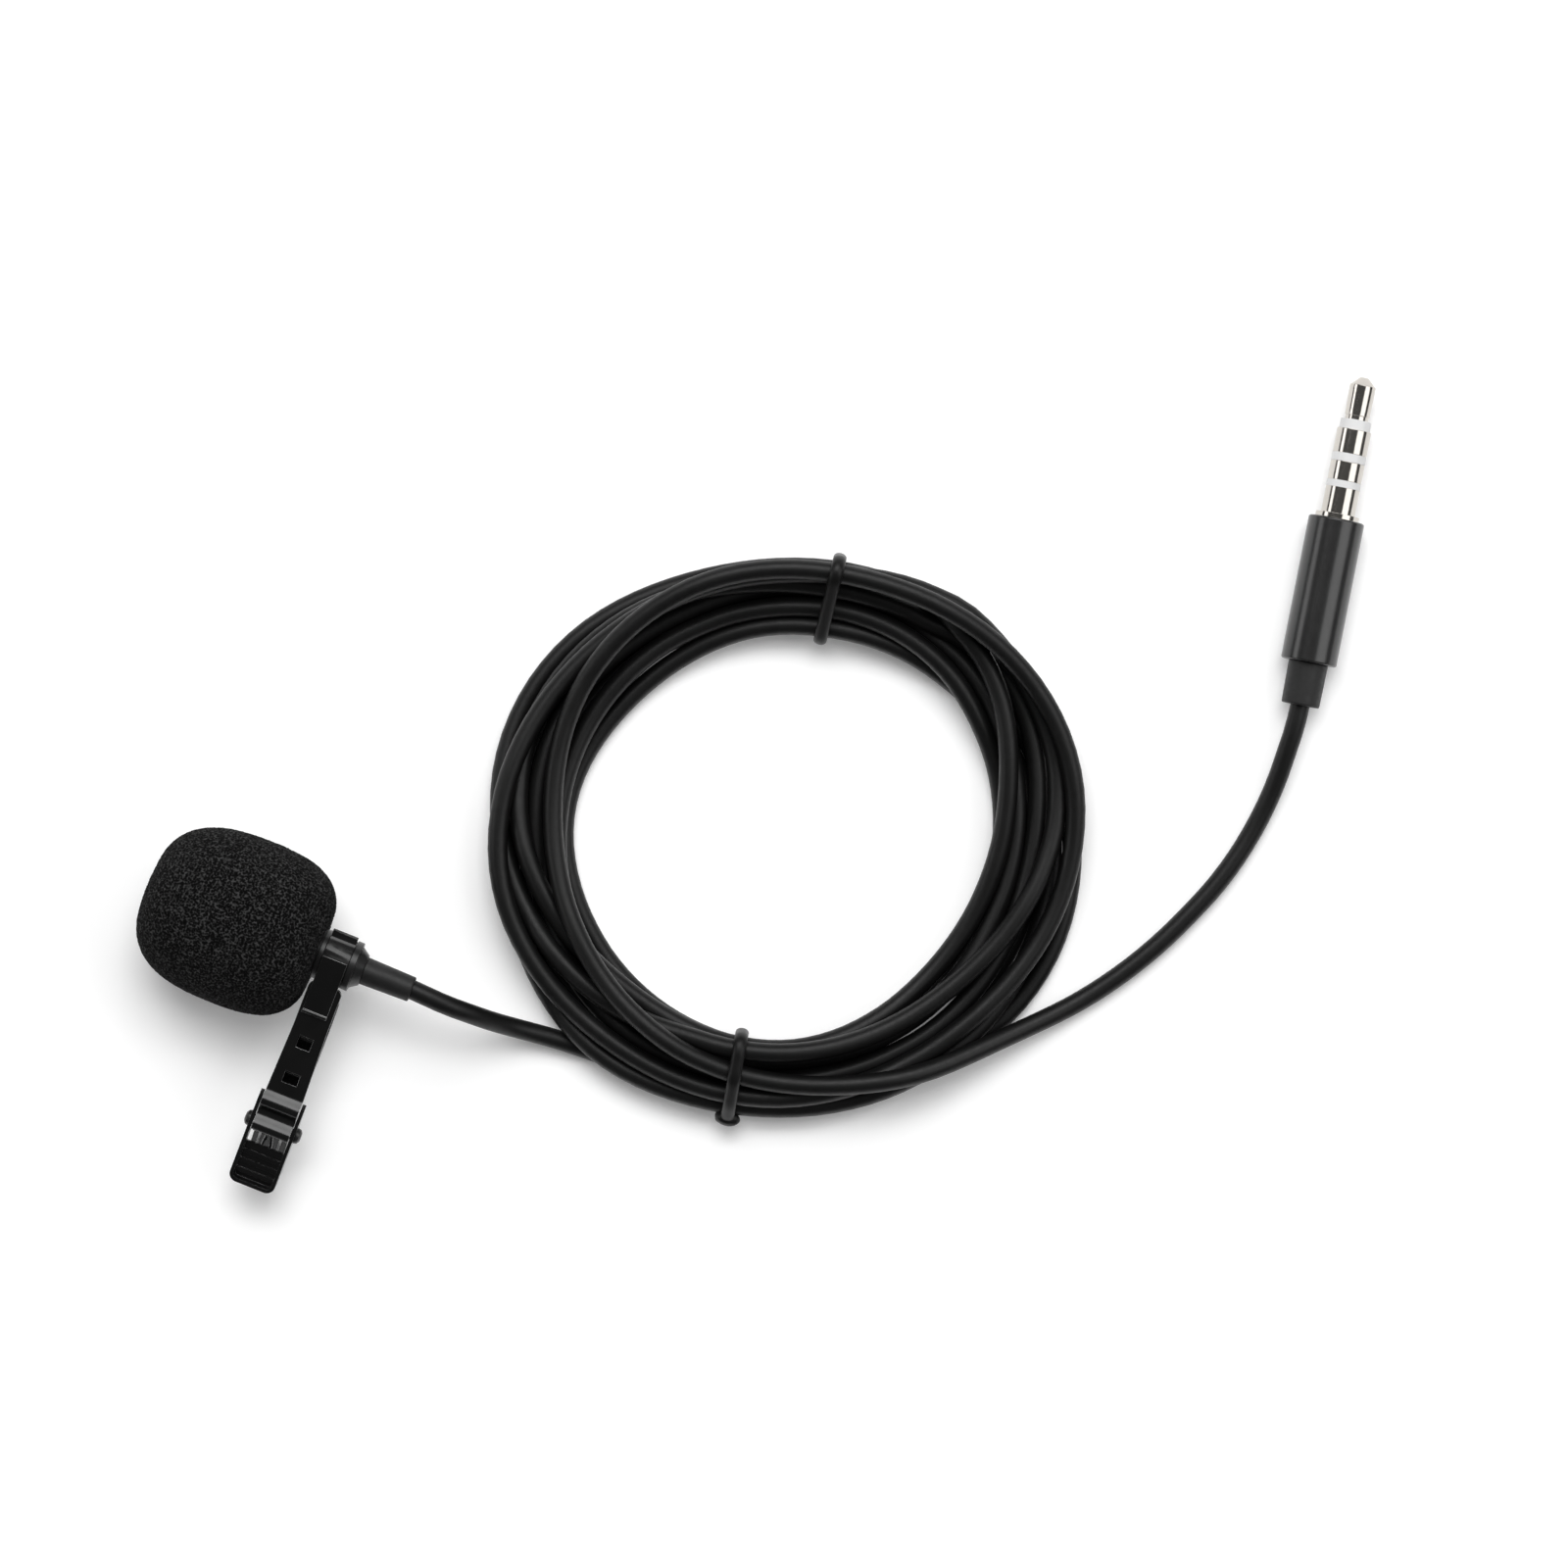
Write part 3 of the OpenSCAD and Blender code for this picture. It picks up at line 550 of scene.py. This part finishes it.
def make_cord():
    """The cord as one round curve, with its coil and the point where it leaves the microphone."""
    low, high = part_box("mic_strain_relief")
    exit_point = Vector((high.x, (low.y + high.y) / 2, (low.z + high.z) / 2)) / MM
    route, coil = cord_route(exit_point)
    curve = bpy.data.curves.new("cord", "CURVE")
    curve.dimensions = "3D"
    curve.bevel_depth = CORD_D / 2 * MM
    curve.bevel_resolution = 8
    curve.use_fill_caps = True
    spline = curve.splines.new("POLY")
    spline.points.add(len(route) - 1)
    spline.points.foreach_set("co", np.column_stack([route * MM, np.ones(len(route))]).ravel())
    spline.use_smooth = True
    cord = add_piece("cord", curve, "microphone", "cord",
                     "cord_mic_lead", "cord_coil", "cord_plug_lead")
    length = float(np.linalg.norm(np.diff(route, axis=0), axis=1).sum()) * MM
    print(f"cord {length:.3f} m, highest centreline {route[:, 2].max():.2f} mm")
    return cord, coil, tuple(exit_point * MM)


def closed_band(name, centres, across, width, thick, sides=24):
    """Band of oval section round a closed loop of points, its width in one direction."""
    count = len(centres)
    vertices = []
    for i, centre in enumerate(centres):
        along = (centres[(i + 1) % count] - centres[i - 1]).normalized()
        outward = along.cross(across).normalized()
        for k in range(sides):
            a = 2 * math.pi * k / sides
            vertices.append(centre + thick / 2 * math.cos(a) * outward
                            + width / 2 * math.sin(a) * across)
    faces = []
    for i in range(count):
        for k in range(sides):
            n = (i + 1) % count
            m = (k + 1) % sides
            faces.append((i * sides + k, n * sides + k, n * sides + m, i * sides + m))
    mesh = bpy.data.meshes.new(name)
    mesh.from_pydata(vertices, [], faces)
    bm = bmesh.new()
    bm.from_mesh(mesh)
    bmesh.ops.recalc_face_normals(bm, faces=bm.faces)
    bm.to_mesh(mesh)
    bm.free()
    return mesh


def hull(points):
    """Convex outline of points in a plane, counterclockwise."""
    points = sorted(points)

    def half(ordered):
        chain = []
        for p in ordered:
            while len(chain) > 1 and (
                (chain[-1][0] - chain[-2][0]) * (p[1] - chain[-2][1])
                - (chain[-1][1] - chain[-2][1]) * (p[0] - chain[-2][0])
            ) <= 0:
                chain.pop()
            chain.append(p)
        return chain[:-1]

    return half(points) + half(points[::-1])


def make_tie(name, tie_angle, slant, coil):
    """Rubber loop drawn tight round the turns that pass its angle, and its outermost point."""
    angle, radius, height = coil
    off = off_angle(angle, tie_angle)
    here = [i for i in range(len(angle)) if abs(off[i]) <= 180 / STEPS_PER_TURN + 1e-6]
    reach = (CORD_D + TIE_THICK) / 2 - TIE_SINK
    ring = [
        (radius[i] + reach * math.cos(a), height[i] + reach * math.sin(a))
        for i in here
        for a in np.linspace(0, 2 * math.pi, POINTS_ROUND_TURN, endpoint=False)
    ]
    corners = [Vector((r, 0, max(z, TIE_THICK / 2))) for r, z in hull(ring)]
    outline = even_loop(corners, POINTS_ROUND_TIE)
    middle = Vector((sum(p.x for p in outline) / len(outline), 0, 0))
    turn = Matrix.Rotation(math.radians(tie_angle), 3, "Z")
    tilt = Matrix.Rotation(math.radians(slant), 3, "Z")
    centre = Vector((*COIL_CENTRE, 0))
    centres = [(centre + turn @ (tilt @ (p - middle) + middle)) * MM for p in outline]
    across = turn @ tilt @ Vector((0, 1, 0))
    mesh = closed_band(name, centres, across, TIE_WIDTH * MM, TIE_THICK * MM)
    shade_smooth(mesh)
    return mesh, max(centres, key=lambda p: (p - centre * MM).xy.length)


def even_loop(points, count):
    """The same closed loop with evenly spaced, slightly rounded points."""
    lengths = [(points[(i + 1) % len(points)] - p).length for i, p in enumerate(points)]
    total = sum(lengths)
    even = []
    i, start = 0, 0.0
    for k in range(count):
        target = total * k / count
        while start + lengths[i] < target:
            start += lengths[i]
            i += 1
        t = (target - start) / lengths[i]
        even.append(points[i].lerp(points[(i + 1) % len(points)], t))
    for _ in range(3):
        even = [(even[i - 1] + 2 * p + even[(i + 1) % count]) / 4 for i, p in enumerate(even)]
    return even


def add_knob(mesh, at, turn, size):
    """Adds the rounded end of a tie, a squashed ball, to its mesh."""
    bm = bmesh.new()
    bm.from_mesh(mesh)
    ball = bmesh.ops.create_uvsphere(bm, u_segments=28, v_segments=18, radius=1.0)["verts"]
    for v in ball:
        swell = 1 + 0.06 * noise.noise(v.co * 1.7)
        local = Vector(c * s for c, s in zip(v.co, size)) * swell
        v.co = at + turn @ local
    bm.to_mesh(mesh)
    bm.free()
    shade_smooth(mesh)


def make_ties(coil):
    """Two loops that hold the coil. The lower one ends in a knob on its outer side."""
    ties = []
    for name, node, angle, slant in (
        ("tie_upper_loop", "tie_upper", TIES[0][0], -3.5),
        ("tie_lower_loop", "tie_lower", TIES[1][0], 2.7),
    ):
        mesh, outermost = make_tie(name, angle, slant, coil)
        if node == "tie_lower":
            turn = Matrix.Rotation(math.radians(angle), 3, "Z")
            add_knob(mesh, outermost, turn, [side * MM for side in KNOB_SIZE])
        ties.append(add_piece(name, mesh, "microphone", "tie", node))
    return ties


# ---------------------------------------------------------------- windscreen

FOAM_AROUND = 300
FOAM_ALONG = 170
BORE_STEPS = 16
HEAD_RADIUS = 2.45 * MM
BORE_CLEARANCE = 0.05 * MM
BORE_END_GAP = 0.3 * MM
RELIEF_ROOM = 0.09 * MM

# Outline: share of the length at which it is widest, and how full its nose and its rear are
WIDEST_AT = 0.557
NOSE_FULLNESS = (2.7, 3.1)
REAR_FULLNESS = (2.6, 4)

# The rear's curve would close this much past its edge, which leaves the edge blunt
REAR_REACH = 1.037

# Relief of the surface: size in mm, and how many of each to a mm
CELL_RELIEF = (0.2, 2.6)
LUMP_RELIEF = (0.05, 0.35)
SPECK_RELIEF = (0.04, 6.0)
CELL_MIDDLE = 0.22


def foam_profile(length, radius):
    """[distance from the nose, radius] of the windscreen: rounded nose, widest behind the
    middle, blunt rear edge."""
    widest = WIDEST_AT * length
    reach = REAR_REACH * (length - widest)
    profile = []
    for i in range(FOAM_ALONG + 1):
        x = length * (1 - math.cos(math.pi * i / FOAM_ALONG)) / 2
        if x < widest:
            outer, inner = NOSE_FULLNESS
            share = (widest - x) / widest
        else:
            outer, inner = REAR_FULLNESS
            share = (x - widest) / reach
        r = radius * (1 - share**outer) ** (1 / inner)
        profile.append((x, r))
    return profile


def foam_rings(low, high, bore_end):
    """[x, radius] of the rings of the windscreen: its outside, its rear face and its bore."""
    radius = (high.z - low.z) / 2 - RELIEF_ROOM
    bore = HEAD_RADIUS + BORE_CLEARANCE
    rings = [(low.x + x, r) for x, r in foam_profile(high.x - low.x, radius)]
    rear = rings[-1][1]
    shares = [i / BORE_STEPS for i in range(1, BORE_STEPS + 1)]
    rings += [(high.x, rear + (bore - rear) * share) for share in shares]
    rings += [(high.x + (bore_end - high.x) * share, bore) for share in shares]
    return rings


def roughen(vertices):
    """Relief of the foam: cells, soft lumps and fine specks."""
    for v in vertices:
        p = v.co / MM
        nearest = noise.voronoi(p * CELL_RELIEF[1])[0]
        depth = (
            CELL_RELIEF[0] * (CELL_MIDDLE - nearest[1] + nearest[0])
            + LUMP_RELIEF[0] * noise.noise(p * LUMP_RELIEF[1])
            + SPECK_RELIEF[0] * noise.noise(p * SPECK_RELIEF[1])
        )
        v.co += v.normal * depth * MM


def make_foam():
    """The windscreen, a turned form with its surface roughened and a smooth bore."""
    low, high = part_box("windscreen")
    axis_y, axis_z = (low.y + high.y) / 2, (low.z + high.z) / 2
    bore_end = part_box("mic_housing")[0].x - BORE_END_GAP
    bm = bmesh.new()
    rows = []
    for x, r in foam_rings(low, high, bore_end):
        if r < 1e-7:
            rows.append([bm.verts.new((x, axis_y, axis_z))])
            continue
        rows.append([
            bm.verts.new((x, axis_y + r * math.cos(a), axis_z + r * math.sin(a)))
            for a in np.linspace(0, 2 * math.pi, FOAM_AROUND, endpoint=False)
        ])
    rows.append([bm.verts.new((bore_end, axis_y, axis_z))])
    for a, b in zip(rows, rows[1:]):
        for k in range(FOAM_AROUND):
            m = (k + 1) % FOAM_AROUND
            corners = [a[k % len(a)], b[k % len(b)], b[m % len(b)], a[m % len(a)]]
            unique = list(dict.fromkeys(corners))
            if len(unique) > 2:
                bm.faces.new(unique)
    bmesh.ops.recalc_face_normals(bm, faces=bm.faces)
    bm.normal_update()
    roughen(v for row in rows[:FOAM_ALONG + 1 + BORE_STEPS] for v in row)
    mesh = bpy.data.meshes.new("foam_shape")
    bm.to_mesh(mesh)
    bm.free()
    shade_smooth(mesh)
    foam = add_piece("foam_windscreen", mesh, "windscreen", "foam", "windscreen")


# ---------------------------------------------------------------- eased CAD parts

# Width in mm of the small bevel on each part that shows
EASED = {
    "mic_housing": 0.06, "rear_cap": 0.06, "mic_strain_relief": 0.08,
    "holder_ring": 0.06, "pivot_pin": 0.06,
    "plug_tip": 0.05, "plug_insulator_1": 0.03, "plug_ring_1": 0.04, "plug_insulator_2": 0.02,
    "plug_ring_2": 0.04, "plug_insulator_3": 0.02, "plug_sleeve": 0.05,
    "plug_handle": 0.08, "plug_strain_relief": 0.08,
}

# Axis of each turned part, as a point on it and its direction
MIC_AXIS = (Vector((8.075, 7.9925, 8.7)) * MM, Vector((1, 0, 0)))
PLUG_TURN = math.radians(100.5)
PLUG_AXIS = (Vector(PLUG_END) * MM, Vector((math.cos(PLUG_TURN), math.sin(PLUG_TURN), 0)))
TURNED = {
    node: PLUG_AXIS if node.startswith("plug") else MIC_AXIS
    for node in EASED if node not in ("holder_ring", "pivot_pin")
}

# Width in mm of the bevel on each pressed part of the clip, whose edges are worn bright
WORN = {"ring_strap": 0.10, "front_strip": 0.11, "thumb_lever": 0.11, "rear_jaw": 0.10}


def make_spring():
    """The torsion spring in two mirrored halves."""
    low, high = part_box("torsion_spring")
    middle = (low + high) / 2
    for name, side in (("spring_left", -1), ("spring_right", 1)):
        outward = Vector((side, 0, 0))
        bm = bmesh.new()
        bm.from_mesh(frame["nodes"]["torsion_spring"].data)
        bmesh.ops.remove_doubles(bm, verts=bm.verts, dist=SAME_POINT)
        cut = bmesh.ops.bisect_plane(bm, geom=bm.verts[:] + bm.edges[:] + bm.faces[:],
                                     plane_co=middle, plane_no=outward, clear_inner=True)
        rim = [e for e in cut["geom_cut"] if isinstance(e, bmesh.types.BMEdge)]
        bmesh.ops.holes_fill(bm, edges=rim)
        bmesh.ops.recalc_face_normals(bm, faces=bm.faces)
        mesh = bpy.data.meshes.new(name)
        bm.to_mesh(mesh)
        bm.free()
        shade_smooth(mesh)
        half = linked(name, mesh)
        paint(half, "spring")
        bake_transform(half)
        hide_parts("torsion_spring")


# ---------------------------------------------------------------- floor and light

FLOOR_SIZE = 12
FLOOR_DROP = 0.1 * MM

# Strength of the floor's glow near the origin and far from it, and the metres between
GLOW = {"From Min": 0.35, "From Max": 1.2, "To Min": 0.15, "To Max": 1.0}


def make_stage():
    """White table. It glows a little, and more where the lights don't reach it."""
    material, tree, shader = new_material("floor")
    shader.inputs["Base Color"].default_value = (0.9, 0.9, 0.9, 1)
    shader.inputs["Roughness"].default_value = 0.9
    shader.inputs["Specular IOR Level"].default_value = 0.1
    shader.inputs["Emission Color"].default_value = (1, 1, 1, 1)
    place = tree.nodes.new("ShaderNodeTexCoord")
    distance = tree.nodes.new("ShaderNodeVectorMath")
    distance.operation = "LENGTH"
    glow = tree.nodes.new("ShaderNodeMapRange")
    for socket, value in GLOW.items():
        glow.inputs[socket].default_value = value
    tree.links.new(place.outputs["Object"], distance.inputs[0])
    tree.links.new(distance.outputs["Value"], glow.inputs["Value"])
    tree.links.new(glow.outputs["Result"], shader.inputs["Emission Strength"])
    bpy.ops.mesh.primitive_plane_add(size=FLOOR_SIZE, location=(0, 0, -FLOOR_DROP))
    floor = bpy.context.object
    floor.name = "floor"
    floor.data.materials.append(material)


def add_area(name, size, power, azimuth, elevation, distance, shines=True):
    """Soft panel that faces the object from a direction in degrees, with its size and
    distance in metres and its power in watts. One that doesn't shine leaves no highlights."""
    data = bpy.data.lights.new(name, "AREA")
    data.shape = "RECTANGLE"
    data.size, data.size_y = size
    data.energy = power
    light = linked(name, data)
    a = math.radians(azimuth)
    e = math.radians(elevation)
    offset = Vector((math.cos(e) * math.cos(a), math.cos(e) * math.sin(a), math.sin(e)))
    light.location = VIEW_CENTRE + distance * offset
    light.rotation_euler = (-offset).to_track_quat("-Z", "Y").to_euler()
    light.visible_glossy = shines


def make_world():
    """A white backdrop for the camera, and a dim one for everything that it lights."""
    world = bpy.data.worlds.new("studio")
    bpy.context.scene.world = world
    world.use_nodes = True
    tree = world.node_tree
    dim = tree.nodes["Background"]
    dim.inputs["Color"].default_value = (1, 1, 1, 1)
    dim.inputs["Strength"].default_value = 0.08
    white = tree.nodes.new("ShaderNodeBackground")
    white.inputs["Color"].default_value = (1, 1, 1, 1)
    white.inputs["Strength"].default_value = 1.0
    rays = tree.nodes.new("ShaderNodeLightPath")
    mix = tree.nodes.new("ShaderNodeMixShader")
    tree.links.new(rays.outputs["Is Camera Ray"], mix.inputs["Fac"])
    tree.links.new(dim.outputs["Background"], mix.inputs[1])
    tree.links.new(white.outputs["Background"], mix.inputs[2])
    tree.links.new(mix.outputs["Shader"], tree.nodes["World Output"].inputs["Surface"])


def make_light():
    """Backdrop and four panels, turned with the top of the view."""
    make_world()
    up = 90 + math.degrees(VIEW_TURN)
    add_area("top", (0.5, 0.5), 4.5, up, 70, 1.0, shines=False)
    add_area("key", (0.8, 0.45), 4.0, up, 56, 0.8)
    add_area("left", (0.5, 0.28), 0.9, up + 85, 26, 0.8)
    add_area("right", (0.5, 0.58), 1.7, up - 85, 45, 0.8)
    view = bpy.context.scene.view_settings
    view.view_transform = "Standard"
    view.exposure = 0.0


# ---------------------------------------------------------------- build

make_camera()
cord, coil, cord_exit = make_cord()
ties = make_ties(coil)
make_foam()
for node, width in EASED.items():
    eased_copy(node, width * MM)
for node, width in WORN.items():
    eased_copy(node, width * MM, "clip_edge")
make_spring()
for node, obj in frame["nodes"].items():
    paint(obj, NODE_SLOT[node])
make_stage()
make_light()
